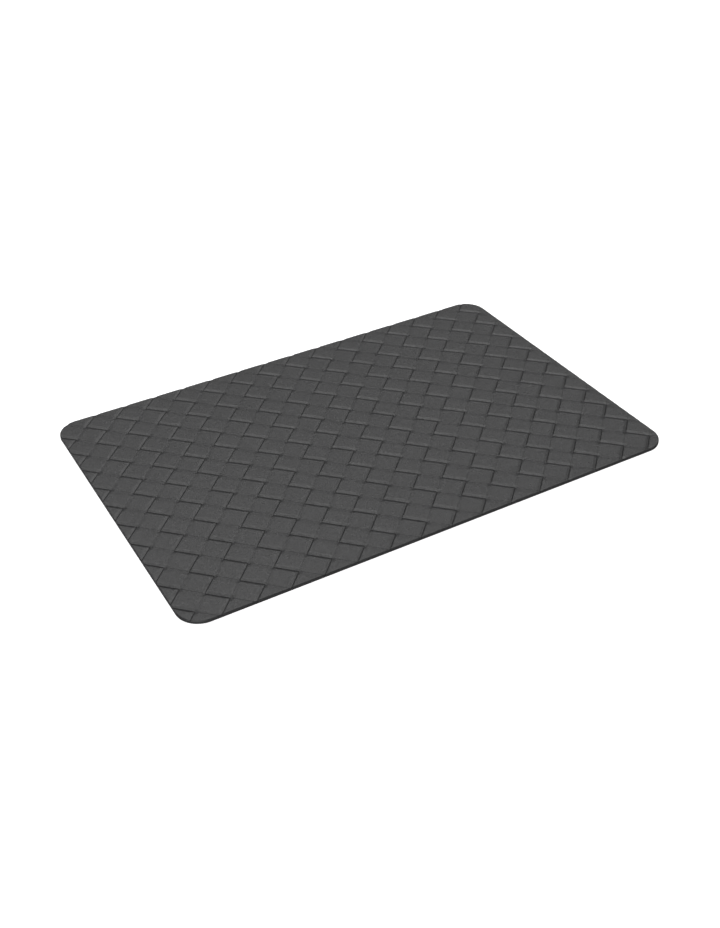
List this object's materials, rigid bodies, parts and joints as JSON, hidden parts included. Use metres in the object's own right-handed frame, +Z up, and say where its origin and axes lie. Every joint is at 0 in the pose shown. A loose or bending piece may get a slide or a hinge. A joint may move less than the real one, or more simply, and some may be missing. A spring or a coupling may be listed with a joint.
{
  "type": "anti fatigue mat",
  "caption": "Rectangular cushioned standing mat with rounded corners, a woven-strap relief on its vinyl skin, a thin foam core and a non-slip base.",
  "frame": {"origin": "centre of the underside, on the floor", "axes": "+X along the long side, +Y along the short side away from the user, +Z up through the laminate"},
  "size_m": [0.762, 0.508, 0.005],
  "materials": {
    "base_rubber": "matt black soft vinyl with a hexagonal tread",
    "core_foam": "black closed-cell foam, fine open cells on the cut edge",
    "knit_cloth": "thin dark grey knitted cloth",
    "vinyl_skin": "charcoal soft vinyl, satin, fine leather grain over a woven-strap relief"
  },
  "bodies": {
    "root": {"non_slip_base": "base_rubber", "foam_core": "core_foam", "backing_cloth": "knit_cloth", "embossed_skin": "vinyl_skin"}
  },
  "joints": []
}
